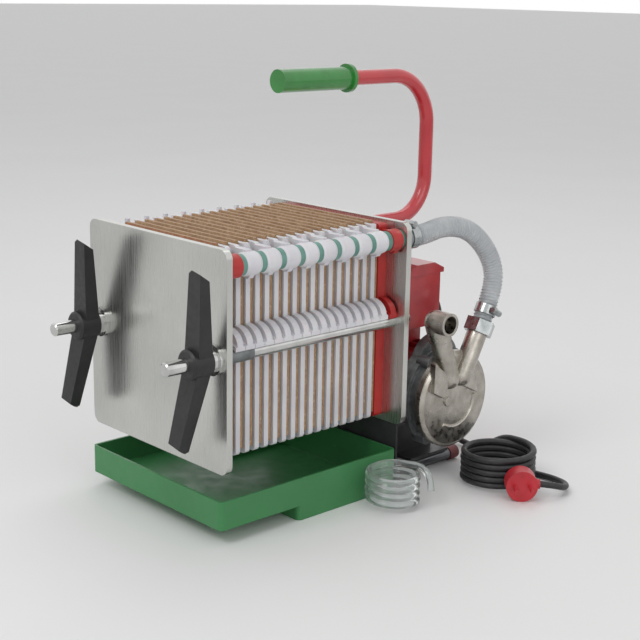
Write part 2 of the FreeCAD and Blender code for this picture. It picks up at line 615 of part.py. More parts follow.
def carry_handle():
    """Bent tube from the rear end plate's back, up and then forwards over the pack."""
    x, foot, back, top = size("bail_x"), size("bail_foot"), size("bail_back"), size("bail_top")
    start = rear_face() + size("end_sheet")
    front = size("grip_front") + size("grip_end")
    wire, _ = rounded_path([(x, start, foot), (x, back, foot), (x, back, top), (x, front, top)],
                           (size("bail_low_bend"), size("bail_high_bend")))
    tube = tube_along(wire, size("bail_radius"), size("bail_radius") - size("bail_wall"))
    disc = Part.makeCylinder(size("foot_disc_radius"), size("foot_disc_thick"), FreeCAD.Vector(x, start, foot),
                             FreeCAD.Vector(0, 1, 0))
    return subpart("carry_handle", feature("bail", tube.fuse(disc).removeSplitter()))


def carry_grip():
    """Moulded grip pushed over the tube's front end, with a flange at its inner end."""
    barrel = cylinder("grip_barrel", "grip_radius", "grip_long", "bail_x", "grip_front", "bail_top", along="y")
    flange = cylinder("grip_flange_ring", "grip_flange", "grip_flange_thick", "bail_x",
                      "grip_front + grip_long - grip_flange_thick", "bail_top", along="y")
    bore = cylinder("grip_bore", "bail_radius + snug", "grip_long", "bail_x", "grip_front + grip_end", "bail_top", along="y")
    return subpart("carry_grip", cut("grip", fuse("grip_solid", barrel, flange), bore))


# --- motor ---------------------------------------------------------------------------------------

def motor_body():
    """Finned stator housing."""
    long = "(motor_end - motor_start)"
    drum = cylinder("motor_drum", "motor_radius", long, "motor_start", "drive_y", "drive_z", along="x")
    fins = []
    for n in range(int(size("fin_count"))):
        fin = box(f"fin_{n}", f"{long} - 8", "fin_wide", "motor_radius + fin_high")
        angle = 360*(n + 0.5)/size("fin_count")
        turn = FreeCAD.Rotation(FreeCAD.Vector(1, 0, 0), angle)
        place(fin, "motor_start + 4", "drive_y", "drive_z", turn)
        fins.append(fin)
    return subpart("motor_body", fuse("motor_housing", drum, *fins))


def motor_cowl():
    """Closed fan cover at the motor's far end."""
    cup = cylinder("cowl_cup", "cowl_radius", "cowl_long", "motor_start - cowl_long", "drive_y", "drive_z", along="x")
    rim = rounded("cowl_rim", cup, size("cowl_round"), lambda edge: edge.BoundBox.XMax < size("motor_start") - 1
                  and edge.BoundBox.XLength < 1)
    return subpart("motor_cowl", rim)


def motor_bracket():
    """Cast adapter between motor and pump, with an arched ear above."""
    disc = cylinder("bracket_disc", "bracket_radius", "bracket_thick", "motor_end", "drive_y", "drive_z", along="x")
    ear = box("bracket_ear", "bracket_thick", "2*bracket_half", "bracket_top - bracket_half - drive_z", "motor_end",
              "drive_y - bracket_half", "drive_z")
    arch = cylinder("bracket_arch", "bracket_half", "bracket_thick", "motor_end", "drive_y", "bracket_top - bracket_half",
                    along="x")
    return subpart("motor_bracket", fuse("bracket", disc, ear, arch))


def motor_saddle():
    """Foot plate on the rails with two saddles under the motor."""
    low = "(2*rail_radius + cap_wall)"
    plate = box("foot_plate", "2*rail_x + 2*rail_radius", "foot_plate_end - foot_plate_front", "foot_plate_thick",
                "-rail_x - rail_radius", "foot_plate_front", low)
    saddles = [box(f"saddle_{n}", "saddle_thick", "foot_plate_end - foot_plate_front", f"drive_z - motor_radius/2 - {low}",
                   x, "foot_plate_front", low)
               for n, x in enumerate(("motor_start + 14", "motor_end - 30"))]
    drum = cylinder("saddle_drum", "motor_radius + fin_high + seat_gap", "2*(motor_end - motor_start)", "2*motor_start", "drive_y",
                    "drive_z", along="x")
    return subpart("motor_saddle", cut("saddle", fuse("saddle_solid", plate, *saddles), drum))


def terminal_box():
    """Box on top of the motor, on a short neck, with its lid as a piece of its own."""
    neck = box("box_neck", "neck_wide", "neck_wide", "box_low - drive_z", "(box_left + box_right - neck_wide)/2",
               "(box_front + box_end - neck_wide)/2", "drive_z")
    drum = cylinder("neck_drum", "motor_radius + fin_high + seat_gap", "3*neck_wide", "box_left - neck_wide/2", "drive_y", "drive_z",
                    along="x")
    case = box("box_case", "box_right - box_left", "box_end - box_front", "box_high", "box_left", "box_front", "box_low")
    return subpart("terminal_box", fuse("box_whole", case, cut("neck", neck, drum)))


def terminal_lid():
    top = "(box_low + box_high)"
    lid = extrusion("lid_block", "YZ_Plane",
                    [("box_front - lid_over", top), ("box_end + lid_over", top),
                     ("box_end + lid_over", f"{top} + 0.4*lid_high"), ("box_end - 14", f"{top} + lid_high"),
                     ("box_front + 14", f"{top} + lid_high"), ("box_front - lid_over", f"{top} + 0.4*lid_high")],
                    "box_right - box_left + 2*lid_over", x="(box_left + box_right)/2")
    return subpart("terminal_lid", lid)


# --- pump -------------------------------------------------------------------------------------------

CASING_START = "(motor_end + bracket_thick)"
COVER_START = f"({CASING_START} + casing_thick)"
COVER_FACE = f"({COVER_START} + cover_thick)"
LUG_ANGLES = (124, 232, 328)
INLET_CHANNEL = ((-45, 55), (-17, 34), (-26, 7), (-46, 18))
OUTLET_CHANNEL = ((4, 34), (26, 38), (38, 3), (9, 18))


def pump_casing():
    """Round casting behind the cover, with its thin rear flange and three screw lugs."""
    z = "(drive_z - pump_drop)"
    flange = cylinder("casing_flange", "cover_radius + 1", "cover_gap", CASING_START, "drive_y", z, along="x")
    drum = cylinder("casing_drum", "cover_radius - casing_step", "casing_thick", CASING_START, "drive_y", z, along="x")
    lugs = [cylinder(f"casing_lug_{n}", "lug_radius", "casing_thick", CASING_START,
                     f"(drive_y + lug_circle*cos({angle}))", f"({z} + lug_circle*sin({angle}))", along="x")
            for n, angle in enumerate(LUG_ANGLES)]
    return subpart("pump_casing", fuse("casing", flange, drum, *lugs))


def duct(name, foot_y, foot_z, lean, side):
    """Outer solid and bore of a port pipe that rises from the cover and leans to one side."""
    turn = FreeCAD.Rotation(FreeCAD.Vector(1, 0, 0), -side*size(lean))
    solid = doc.addObject("Part::Cylinder", name + "_solid")
    bind(solid, Radius="duct_radius", Height="duct_long")
    place(solid, f"{COVER_FACE} + duct_out", foot_y, foot_z, turn)
    bore = doc.addObject("Part::Cylinder", name + "_bore")
    bind(bore, Radius="duct_bore", Height="duct_long + 5")
    place(bore, f"{COVER_FACE} + duct_out", foot_y, foot_z, turn)
    return solid, bore


def duct_end(foot_y, foot_z, lean, side, beyond=0):
    """End point and direction of a port pipe, in millimetres."""
    angle = side*math.radians(size(lean))
    direction = FreeCAD.Vector(0, math.sin(angle), math.cos(angle))
    x = size("motor_end") + size("bracket_thick") + size("casing_thick") + size("cover_thick") + size("duct_out")
    foot = FreeCAD.Vector(x, size(foot_y), size(foot_z))
    return foot + direction*(size("duct_long") + beyond), direction


def channel(name, corners):
    """Raised passage on the cover's face; corners are counted from the pump's axis."""
    outline = [(f"(drive_y + {across})", f"(drive_z - pump_drop + {up})") for across, up in corners]
    return extrusion(name, "YZ_Plane", outline, "channel_high", x=f"{COVER_FACE} + channel_high/2")


def pump_cover():
    """Front casting: bevelled disc, centre boss, raised channels, curved rib and both port pipes."""
    y, z = "drive_y", "(drive_z - pump_drop)"
    disc = cylinder("cover_disc", "cover_radius", "cover_thick", COVER_START, y, z, along="x")
    bevel = cone("cover_bevel", "cover_radius - 1", "cover_radius - 5", "cover_bevel_high", COVER_FACE, y, z, along="x")
    boss = cylinder("cover_boss", "boss_radius", "boss_high", COVER_FACE, "drive_y - boss_aside", z, along="x")
    rib = doc.addObject("Part::Torus", "cover_rib")
    bind(rib, Radius1="rib_circle", Radius2="rib_radius", Angle3="rib_sweep")
    start = FreeCAD.Rotation(FreeCAD.Vector(0, 0, 1), -size("rib_start"))
    place(rib, f"{COVER_FACE} + cover_bevel_high", y, z, TURNS["x"].multiply(start))
    solids = [disc, bevel, boss, rib, channel("inlet_channel", INLET_CHANNEL), channel("outlet_channel", OUTLET_CHANNEL)]
    bores = []
    for word, side in (("inlet", -1), ("outlet", 1)):
        foot = f"{word}_foot_y", f"{word}_foot_z"
        pipe, bore = duct(f"{word}_duct", *foot, f"{word}_lean", side)
        bulb = doc.addObject("Part::Sphere", f"{word}_bulb")
        bind(bulb, Radius="duct_radius")
        place(bulb, f"{COVER_FACE} + duct_out", *foot)
        solids += [pipe, bulb]
        bores.append(bore)
    behind = box("cover_behind", "cover_radius", "4*cover_radius", "4*cover_radius", f"{COVER_START} - cover_radius",
                 "drive_y - 2*cover_radius", "drive_z - 2*cover_radius")
    return subpart("pump_cover", cut("cover", fuse("cover_solid", *solids), *bores, behind))


def pump_elbow():
    """Inlet elbow on the left port pipe, with its mouth open to the right."""
    base, direction = duct_end("inlet_foot_y", "inlet_foot_z", "inlet_lean", -1)
    turn = base + direction*size("elbow_rise")
    mouth = turn + FreeCAD.Vector(size("elbow_reach"), 0, 0)
    radius, bore = size("elbow_radius"), size("elbow_bore")

    def bent(thickness, start, end):
        rise = Part.makeCylinder(thickness, (turn - start).Length, start, direction)
        reach = Part.makeCylinder(thickness, (end - turn).Length, turn, end - turn)
        return rise.fuse([reach, Part.makeSphere(thickness, turn)])

    outer = bent(radius, base, mouth)
    inner = bent(bore, base - direction, mouth + (mouth - turn)*0.2)
    return subpart("pump_elbow", feature("elbow", outer.cut(inner).removeSplitter()))


# --- pipework between pump and pack ---------------------------------------------------------------

def outlet_end(beyond=0):
    return duct_end("outlet_foot_y", "outlet_foot_z", "outlet_lean", 1, beyond)


def union_nut():
    """Hexagonal nut that holds the hose barb on the outlet pipe."""
    base, direction = outlet_end()
    nut = doc.addObject("Part::Prism", "union_blank")
    nut.Polygon = 6
    bind(nut, Circumradius="union_flats/2/cos(30)", Height="union_long")
    nut.Placement = FreeCAD.Placement(base, FreeCAD.Rotation(FreeCAD.Vector(0, 0, 1), direction))
    hole = doc.addObject("Part::Cylinder", "union_hole")
    bind(hole, Radius="barb_bore", Height="union_long")
    hole.Placement = nut.Placement
    return subpart("union_nut", cut("union", nut, hole))


def barb_shape(base, direction, length):
    """Stepped hose barb with a bore."""
    radius, steps = size("barb_radius"), 4
    step = length/steps
    rings = [Part.makeCone(radius, radius - 1, step, base + direction*(n*step), direction) for n in range(steps)]
    solid = rings[0].fuse(rings[1:])
    return solid.cut(Part.makeCylinder(size("barb_bore"), length, base, direction))


def hose_barbs():
    """Barbs on the pump's outlet and behind both ports of the rear end plate."""
    base, direction = outlet_end(size("union_long"))
    barbs = [barb_shape(base, direction, size("barb_long"))]
    back = FreeCAD.Vector(0, 1, 0)
    for side in (1, -1):
        seat = FreeCAD.Vector(side*size("port_x"), rear_face() + size("end_sheet"), size("port_z"))
        flange = Part.makeCylinder(size("collar_radius"), size("gasket_thick"), seat, back)
        flange = flange.cut(Part.makeCylinder(size("barb_bore"), size("gasket_thick"), seat, back))
        barbs.append(barb_shape(seat + back*size("gasket_thick"), back, size("barb_long")).fuse(flange).removeSplitter())
    return subpart("hose_barbs", feature("barbs", Part.makeCompound(barbs)))


def hose_route():
    """Corners of the transfer hose, from the rear end plate to the pump's outlet."""
    foot, direction = outlet_end(size("union_long") + 1)
    near = foot + direction*34
    return [(114, rear_face() + size("end_rim") + 2, 314.5), (114, 320, 314.5), (117, 352, 323), (125, 388, 318),
            (132, 416, 294), (139, 430, 262), tuple(near), tuple(foot)]


def transfer_hose():
    wire, radii = rounded_path(hose_route())
    print("transfer hose radii", [round(radius) for radius in radii], "length", round(wire.Length))
    return subpart("transfer_hose", feature("hose", tube_along(wire, size("hose_radius"), size("hose_bore"))))


def hose_clips():
    """Worm-drive band at each end of the hose, with its screw housing."""
    foot, direction = outlet_end(size("union_long") + 9)
    start = FreeCAD.Vector(size("port_x"), rear_face() + size("end_rim") + 8, size("port_z"))
    clips = []
    for base, along, up in ((start, FreeCAD.Vector(0, 1, 0), FreeCAD.Vector(0, 0, 1)),
                            (foot, direction, FreeCAD.Vector(1, 0, 0))):
        outer, wide = size("hose_radius") + size("clip_thick"), size("clip_wide")
        band = Part.makeCylinder(outer, wide, base, along)
        middle = base + along*(wide/2) + up*(outer + 2.5)
        across = along.cross(up)
        screw = Part.makeCylinder(4, 16, middle - across*8, across)
        seat = Part.makeCylinder(size("hose_radius") + 0.05, wide, base, along)
        clips.append(band.fuse(screw).cut(seat).removeSplitter())
    return subpart("hose_clips", feature("clips", Part.makeCompound(clips)))


# --- mains lead, plug and loose clear hose ---------------------------------------------------------

LEAD_TO_COIL = [(30, 390, 222), (30, 424, 222), (31, 446, 196), (33, 452, 156), (36, 452, 116), (40, 452, 76),
                (46, 454, 38), (62, 456, 10), (88, 458, 4.5), (112, 457, 8), (138, 452, 26), (163, 441, 40),
                (192, 436, 44)]
LEAD_TO_PLUG = [(184.4, 435.3, 4), (214, 440.5, 4), (243, 444, 4.5), (268, 436, 6), (281, 414, 11),
                (277.7, 394.2, 18), (266.9, 382.6, 19.5)]
CLEAR_END = [(157.8, 260.4, 43.7), (179, 262, 47), (196, 261, 37), (200, 258, 22)]


def lead_gland():
    """Cable gland on the back of the terminal box."""
    nut = prism("gland_nut", "18", "8", "30", "box_end", "222", along="y")
    nose = cylinder("gland_nose", "7", "12", "30", "box_end", "222", along="y")
    return subpart("lead_gland", fuse("gland", nut, nose))


def cord_tube(node, points, radius):
    wire, radii = rounded_path(points)
    print(node, "radii", [round(bend) for bend in radii], "length", round(wire.Length))
    shape = tube_along(wire, radius)
    expected = math.pi*radius**2*wire.Length
    if abs(shape.Volume/expected - 1) > 0.02:
        raise RuntimeError(f"{node} has volume {shape.Volume}, not {expected}")
    return subpart(node, feature(node + "_tube", shape))


def coil(node, radius, bore, high, x, y):
    """Closed solid of a coil's outer shape."""
    outer = cylinder(node + "_outer", radius, high, x, y, "0")
    inner = cylinder(node + "_inner", bore, high, x, y, "0")
    return subpart(node, cut(node + "_ring", outer, inner))


def plug():
    """Angled mains plug: round face with two pins and a cable nose at one side."""
    centre = FreeCAD.Vector(size("plug_x"), size("plug_y"), size("plug_radius"))
    facing = FreeCAD.Vector(0.73, -0.68, 0).normalize()
    aside = FreeCAD.Vector(-facing.y, facing.x, 0)
    thick = size("plug_thick")
    body = Part.makeCylinder(size("plug_radius"), thick, centre - facing*thick, facing)
    nose = Part.makeCone(9, 6, 23, centre - facing*(thick/2), aside)
    shape = body.fuse(nose)
    for side in (-1, 1):
        foot = centre + aside*(side*size("pin_apart")/2)
        shape = shape.fuse(Part.makeCylinder(size("pin_radius"), size("pin_long"), foot, facing))
    return subpart("mains_plug", feature("plug", shape.removeSplitter()))


# --- the whole machine ------------------------------------------------------------------------------

def check_and_write():
    doc.recompute()
    faults = [item.Name for item in doc.Objects if "Invalid" in item.State or "Error" in item.State]
    faults += [part.Label for part in subparts if part.Shape.isNull() or not part.Shape.isValid()]
    if faults:
        raise RuntimeError("Failed: " + ", ".join(faults))
    os.makedirs("parts", exist_ok=True)
    for part in subparts:
        part.Shape.exportStep(f"parts/{part.Label}.step")


def build():
    end_plate("front_end_plate", "0")
    ports = [cylinder(f"port_hole_{word}", "port_radius", "2*end_rim", f"{side}*port_x", REAR_FACE + " - 2", "port_z",
                      along="y")
             for word, side in (("right", "1"), ("left", "-1"))]
    end_plate("rear_end_plate", REAR_FACE, ports)
    tie_rod("tie_rod_right", "1")
    tie_rod("tie_rod_left", "-1")
    rod_sleeves()
    rear_nuts()
    front_head()
    rear_head()
    for number in range(int(size("plate_count"))):
        filter_plate(number)
    filter_sheets()
    last_right, last_left = last_plates()
    port_gaskets("port_gaskets_right", 0, last_right, False)
    port_gaskets("port_gaskets_left", -1, last_left, True)
    clamp_washers()
    clamp_handle("clamp_handle_right", "1")
    clamp_handle("clamp_handle_left", "-1")
    drip_tray()
    base_rails()
    rail_caps()
    cross_beam()
    carry_handle()
    carry_grip()
    motor_body()
    motor_cowl()
    motor_bracket()
    motor_saddle()
    terminal_box()
    terminal_lid()
    pump_casing()
    pump_cover()
    pump_elbow()
    union_nut()
    hose_barbs()
    transfer_hose()
    hose_clips()
    lead_gland()
    cord_tube("mains_lead", LEAD_TO_COIL, size("lead_radius"))
    coil("lead_coil", "coil_radius", "coil_bore", "coil_high", "coil_x", "coil_y")
    cord_tube("plug_lead", LEAD_TO_PLUG, size("lead_radius"))
    plug()
    coil("clear_coil", "ring_radius", "ring_bore", "ring_high", "ring_x", "ring_y")
    cord_tube("clear_hose_end", CLEAR_END, size("clear_radius"))
    check_and_write()


build()
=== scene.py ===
"""Looks of a plate filter press: finishes for every part, the ribbed hose, the cords and the stage.

Laid out as a Blender add-on with one operator for each group of pieces. Sizes are in metres.
"""
import json
import math

import bmesh
import bpy
from bpy.props import FloatProperty, FloatVectorProperty, PointerProperty
from mathutils import Matrix, Vector


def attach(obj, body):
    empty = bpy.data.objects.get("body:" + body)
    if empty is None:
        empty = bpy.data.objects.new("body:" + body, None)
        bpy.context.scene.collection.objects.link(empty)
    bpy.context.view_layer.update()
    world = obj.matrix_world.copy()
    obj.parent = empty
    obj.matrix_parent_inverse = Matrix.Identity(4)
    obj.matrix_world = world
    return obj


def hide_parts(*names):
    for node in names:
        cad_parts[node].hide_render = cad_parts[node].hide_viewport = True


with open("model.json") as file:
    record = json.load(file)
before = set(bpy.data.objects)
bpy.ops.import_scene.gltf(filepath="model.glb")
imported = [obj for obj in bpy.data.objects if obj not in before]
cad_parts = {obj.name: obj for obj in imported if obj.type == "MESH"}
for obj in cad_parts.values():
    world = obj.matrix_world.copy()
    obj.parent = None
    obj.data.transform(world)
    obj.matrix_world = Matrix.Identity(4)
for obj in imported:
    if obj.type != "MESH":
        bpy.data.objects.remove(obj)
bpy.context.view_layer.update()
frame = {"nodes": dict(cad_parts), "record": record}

bl_info = {
    "name": "Plate Filter Press",
    "version": (1, 0, 0),
    "blender": (4, 5, 0),
    "location": "3D View > Sidebar > Filter Press",
    "description": "Dresses a plate filter press and sets its stage",
    "category": "Object",
}

MIDDLE_Y = 0.191    # from the front end plate's face back to the origin
MM = 0.001
CORD_RESOLUTION = 8
SHORTEST_STEP = 0.3    # a shorter last step is left out


def tone(code):
    """Scene-linear colour from an sRGB hex code."""
    parts = [int(code[at:at + 2], 16)/255 for at in (0, 2, 4)]
    return tuple(part/12.92 if part <= 0.04045 else ((part + 0.055)/1.055)**2.4 for part in parts)


def spot(x, y, z):
    """Point in metres from millimetres counted from the front end plate's face."""
    return Vector((x*MM, y*MM - MIDDLE_Y, z*MM))


# --- finishes -----------------------------------------------------------------------------

class Finish:
    """A material in the making: uniform values on the shader, variation from nodes."""

    def __init__(self, name, colour, roughness, **values):
        self.material = bpy.data.materials.new(name)
        self.material.use_nodes = True
        self.tree = self.material.node_tree
        self.shader = self.tree.nodes["Principled BSDF"]
        self.colour = colour
        self.shader.inputs["Base Color"].default_value = (*colour, 1)
        self.shader.inputs["Roughness"].default_value = roughness
        for key, value in values.items():
            self.shader.inputs[key.replace("_", " ")].default_value = value
        self.heights = []
        self.tree_coords = self.node("ShaderNodeTexCoord").outputs["Object"]

    def node(self, kind, **settings):
        made = self.tree.nodes.new(kind)
        for key, value in settings.items():
            setattr(made, key, value)
        return made

    def link(self, source, target):
        self.tree.links.new(source, target)

    def stretched(self, stretch):
        mapping = self.node("ShaderNodeMapping")
        mapping.inputs["Scale"].default_value = stretch
        self.link(self.tree_coords, mapping.inputs["Vector"])
        return mapping.outputs["Vector"]

    def noise(self, scale, detail=3.0, stretch=(1, 1, 1), rough=0.5):
        made = self.node("ShaderNodeTexNoise")
        made.inputs["Scale"].default_value = scale
        made.inputs["Detail"].default_value = detail
        made.inputs["Roughness"].default_value = rough
        self.link(self.stretched(stretch), made.inputs["Vector"])
        return made.outputs["Fac"]

    def cells(self, scale, stretch=(1, 1, 1)):
        made = self.node("ShaderNodeTexVoronoi")
        made.inputs["Scale"].default_value = scale
        self.link(self.stretched(stretch), made.inputs["Vector"])
        return made.outputs["Distance"]

    def ranged(self, source, low, high, start=0.3, end=0.7):
        made = self.node("ShaderNodeMapRange")
        for key, value in (("From Min", start), ("From Max", end), ("To Min", low), ("To Max", high)):
            made.inputs[key].default_value = value
        self.link(source, made.inputs["Value"])
        return made.outputs["Result"]

    def tint(self, source, other, start=0.3, end=0.7, most=1.0):
        """Blend the base colour towards another where the source is high."""
        mix = self.node("ShaderNodeMix", data_type="RGBA")
        mix.inputs[6].default_value = (*self.colour, 1)
        mix.inputs[7].default_value = (*other, 1)
        base = self.shader.inputs["Base Color"]
        if base.is_linked:
            self.link(base.links[0].from_socket, mix.inputs[6])
        self.link(self.ranged(source, 0, most, start, end), mix.inputs[0])
        self.link(mix.outputs[2], base)
        return self

    def gloss(self, source, low, high, start=0.3, end=0.7):
        self.link(self.ranged(source, low, high, start, end), self.shader.inputs["Roughness"])
        return self

    def bump(self, source, depth, strength=1.0):
        made = self.node("ShaderNodeBump")
        made.inputs["Strength"].default_value = strength
        made.inputs["Distance"].default_value = depth
        self.link(source, made.inputs["Height"])
        normal = self.shader.inputs["Normal"]
        if normal.is_linked:
            self.link(normal.links[0].from_socket, made.inputs["Normal"])
        self.link(made.outputs["Normal"], normal)
        return self

    def soft_edges(self, radius):
        """Rounded look on sharp edges."""
        made = self.node("ShaderNodeBevel", samples=4)
        made.inputs["Radius"].default_value = radius
        self.link(made.outputs["Normal"], self.shader.inputs["Normal"])
        return self


def plate_steel():
    """Satin stainless sheet with vertical brushing and faint handling marks."""
    steel = Finish("plate_steel", tone("CFCFCB"), 0.27, Metallic=1.0).soft_edges(0.0006)
    steel.tint(steel.noise(9, 3), tone("BFC0BC"))
    brushing = steel.noise(1.0, 4, (1500, 1500, 18), 0.7)
    steel.gloss(brushing, 0.22, 0.36)
    return steel.bump(brushing, 0.00003, 0.5).material


def bright_steel():
    bright = Finish("bright_steel", tone("D6D6D4"), 0.13, Metallic=1.0).soft_edges(0.0004)
    turning = bright.noise(1.0, 3, (60, 1800, 60), 0.6)
    bright.gloss(turning, 0.08, 0.2)
    return bright.tint(bright.noise(30, 2), tone("B9BAB8")).bump(turning, 0.00002, 0.4).material


def plated_steel():
    plated = Finish("plated_steel", tone("B9BCBC"), 0.24, Metallic=1.0).soft_edges(0.0005)
    return plated.tint(plated.noise(60, 4), tone("8A8F90")).gloss(plated.noise(140, 3), 0.16, 0.36).material


def white_plastic():
    """Moulded polypropylene, a little translucent."""
    white = Finish("white_plastic", tone("E4E3E6"), 0.42, Subsurface_Weight=0.12, Subsurface_Scale=0.004)
    white.soft_edges(0.0006)
    white.tint(white.noise(22, 4), tone("D3D2D8"))
    return white.gloss(white.noise(90, 3), 0.34, 0.5).bump(white.noise(700, 3), 0.00008, 0.25).material


def filter_board():
    """Pressed fibre board with loose fibres along its cut edges."""
    board = Finish("filter_board", tone("B8946F"), 0.95, Sheen_Weight=0.25)
    board.tint(board.noise(1.0, 5, (60, 900, 60), 0.65), tone("8F6A48"), 0.35, 0.75)
    board.tint(board.noise(260, 5), tone("D9BF9D"), 0.5, 0.78, 0.7)
    board.bump(board.noise(1.0, 4, (500, 1800, 300), 0.7), 0.0004, 0.8)
    return board.bump(board.noise(1500, 3), 0.0002, 0.6).material


def gasket_rubber():
    rubber = Finish("gasket_rubber", tone("6F9C90"), 0.5).soft_edges(0.0006)
    return rubber.tint(rubber.noise(70, 3), tone("5B867B")).bump(rubber.noise(900, 2), 0.00005,
                                                                 0.3).material


def red_plastic():
    red = Finish("red_plastic", tone("C22A26"), 0.36, Coat_Weight=0.15,
                 Coat_Roughness=0.2).soft_edges(0.0007)
    red.tint(red.noise(25, 4), tone("A81F1D"))
    return red.gloss(red.noise(120, 3), 0.28, 0.44).bump(red.noise(800, 3), 0.00006, 0.3).material


def black_plastic():
    """Glass-filled nylon with a fine moulded grain and paler rubbed edges."""
    black = Finish("black_plastic", tone("1B1B1C"), 0.46).soft_edges(0.0008)
    black.tint(black.noise(40, 4), tone("262627"))
    return black.gloss(black.noise(160, 3), 0.38, 0.56).bump(black.noise(1300, 3), 0.00012, 0.35).material


def tray_green():
    """Moulded green tray with a light satin skin, scuffs and pale scratches."""
    green = Finish("tray_green", tone("3E8A50"), 0.38, Coat_Weight=0.1,
                   Coat_Roughness=0.25).soft_edges(0.001)
    green.tint(green.noise(7, 4), tone("347A45"))
    green.tint(green.noise(1.0, 6, (30, 400, 60), 0.75), tone("6FA77B"), 0.66, 0.74, 0.5)
    return green.gloss(green.noise(60, 4), 0.3, 0.5).bump(green.noise(420, 3), 0.0001, 0.3).material


def handle_red():
    """Powder-coated tube with a slight orange peel."""
    red = Finish("handle_red", tone("C92F38"), 0.25, Coat_Weight=0.6, Coat_Roughness=0.08)
    return red.tint(red.noise(18, 3), tone("B7252F")).bump(red.noise(330, 2), 0.00012, 0.25).material


def grip_green():
    green = Finish("grip_green", tone("36893B"), 0.24, Coat_Weight=0.4, Coat_Roughness=0.1)
    return green.tint(green.noise(40, 3), tone("2C7A32")).bump(green.noise(600, 2), 0.00008, 0.25).material


def motor_red():
    """Gloss paint over a casting."""
    red = Finish("motor_red", tone("BE2C31"), 0.3, Coat_Weight=0.5, Coat_Roughness=0.12).soft_edges(0.001)
    red.tint(red.noise(30, 4), tone("A22228"))
    return red.bump(red.noise(240, 4), 0.0003, 0.35).material


def grey_casting():
    grey = Finish("grey_casting", tone("8C8F90"), 0.48, Metallic=0.85).soft_edges(0.001)
    grey.tint(grey.noise(90, 4), tone("6F7273"))
    return grey.gloss(grey.noise(200, 3), 0.38, 0.6).bump(grey.cells(1100), 0.00015, 0.5).material


def pump_nickel():
    """Satin nickel on a cast cover: soft highlights, darker hollows, fine pits."""
    nickel = Finish("pump_nickel", tone("BDB8B0"), 0.28, Metallic=1.0).soft_edges(0.0012)
    nickel.tint(nickel.noise(55, 4), tone("9D988F"))
    nickel.gloss(nickel.noise(120, 4), 0.2, 0.42)
    return nickel.bump(nickel.noise(420, 4), 0.00018, 0.45).material


def dark_steel():
    dark = Finish("dark_steel", tone("2A2A2C"), 0.4, Coat_Weight=0.2).soft_edges(0.0007)
    return dark.tint(dark.noise(45, 4), tone("3A3A3C")).bump(dark.noise(380, 3), 0.00012, 0.3).material


def rail_steel():
    rail = Finish("rail_steel", tone("77787A"), 0.34, Metallic=0.9)
    drawing = rail.noise(1.0, 3, (900, 14, 900), 0.6)
    return rail.tint(drawing, tone("55565A")).gloss(rail.noise(80, 3), 0.26, 0.46).bump(drawing, 0.00004,
                                                                                        0.4).material


def cap_red():
    # Dark red: the cap's own red with the painted shade of its place under the pump cover in it; the darker
    # patches vary at random.
    cap = Finish("cap_red", tone("7A1A20"), 0.4).soft_edges(0.0006)
    return cap.tint(cap.noise(60, 3), tone("5F1218")).bump(cap.noise(900, 2), 0.00006, 0.3).material


def lead_rubber():
    """Black rubber sheath with a dusty bloom."""
    rubber = Finish("lead_rubber", tone("1D1D1F"), 0.5)
    rubber.tint(rubber.noise(60, 4), tone("2A2A2C"))
    return rubber.gloss(rubber.noise(200, 3), 0.4, 0.6).bump(rubber.noise(1600, 3), 0.00006, 0.35).material


def plug_rubber():
    red = Finish("plug_rubber", tone("C6303A"), 0.38)
    return red.tint(red.noise(50, 3), tone("AE2630")).bump(red.noise(900, 3), 0.00008, 0.3).material


def cloudy_tube():
    """Cloudy clear wall of the transfer hose."""
    wall = Finish("cloudy_tube", tone("D5D8DA"), 0.3, Transmission_Weight=0.45, IOR=1.42)
    return wall.tint(wall.noise(60, 3), tone("BFC4C8")).bump(wall.noise(500, 3), 0.0001, 0.3).material


def clear_tube():
    """Clear soft tube with a faint blue-green cast."""
    clear = Finish("clear_tube", tone("EEF3F2"), 0.06, Transmission_Weight=0.92, IOR=1.45)
    return clear.bump(clear.noise(120, 2), 0.0001, 0.2).material


FINISHES = {
    "brushed_steel": plate_steel, "bright_steel": bright_steel, "union_steel": plated_steel,
    "white_plastic": white_plastic, "filter_board": filter_board, "gasket_rubber": gasket_rubber,
    "red_plastic": red_plastic, "black_plastic": black_plastic, "green_paint": tray_green,
    "handle_red": handle_red, "green_plastic": grip_green, "motor_red": motor_red,
    "grey_casting": grey_casting, "pump_nickel": pump_nickel, "dark_paint": dark_steel,
    "rail_steel": rail_steel, "cap_plastic": cap_red, "lead_black": lead_rubber, "plug_red": plug_rubber,
    "hose_clear": cloudy_tube, "clear_tube": clear_tube,
}
made_finishes = {}


def finish(slot):
    """Finish of a material slot, made once."""
    if slot not in made_finishes:
        made_finishes[slot] = FINISHES[slot]()
    return made_finishes[slot]


SLOT_OF = {row["node"]: row["material_slot"] for row in frame["record"]["subparts"]}


def dress(*nodes):
    """Give carried-over parts the finish of their slot."""
    for node in nodes:
        thing = frame["nodes"][node]
        thing.data.materials.clear()
        thing.data.materials.append(finish(SLOT_OF[node]))


def nodes_named(start):
    return [node for node in frame["nodes"] if node.startswith(start)]


# --- shapes -------------------------------------------------------------------------------

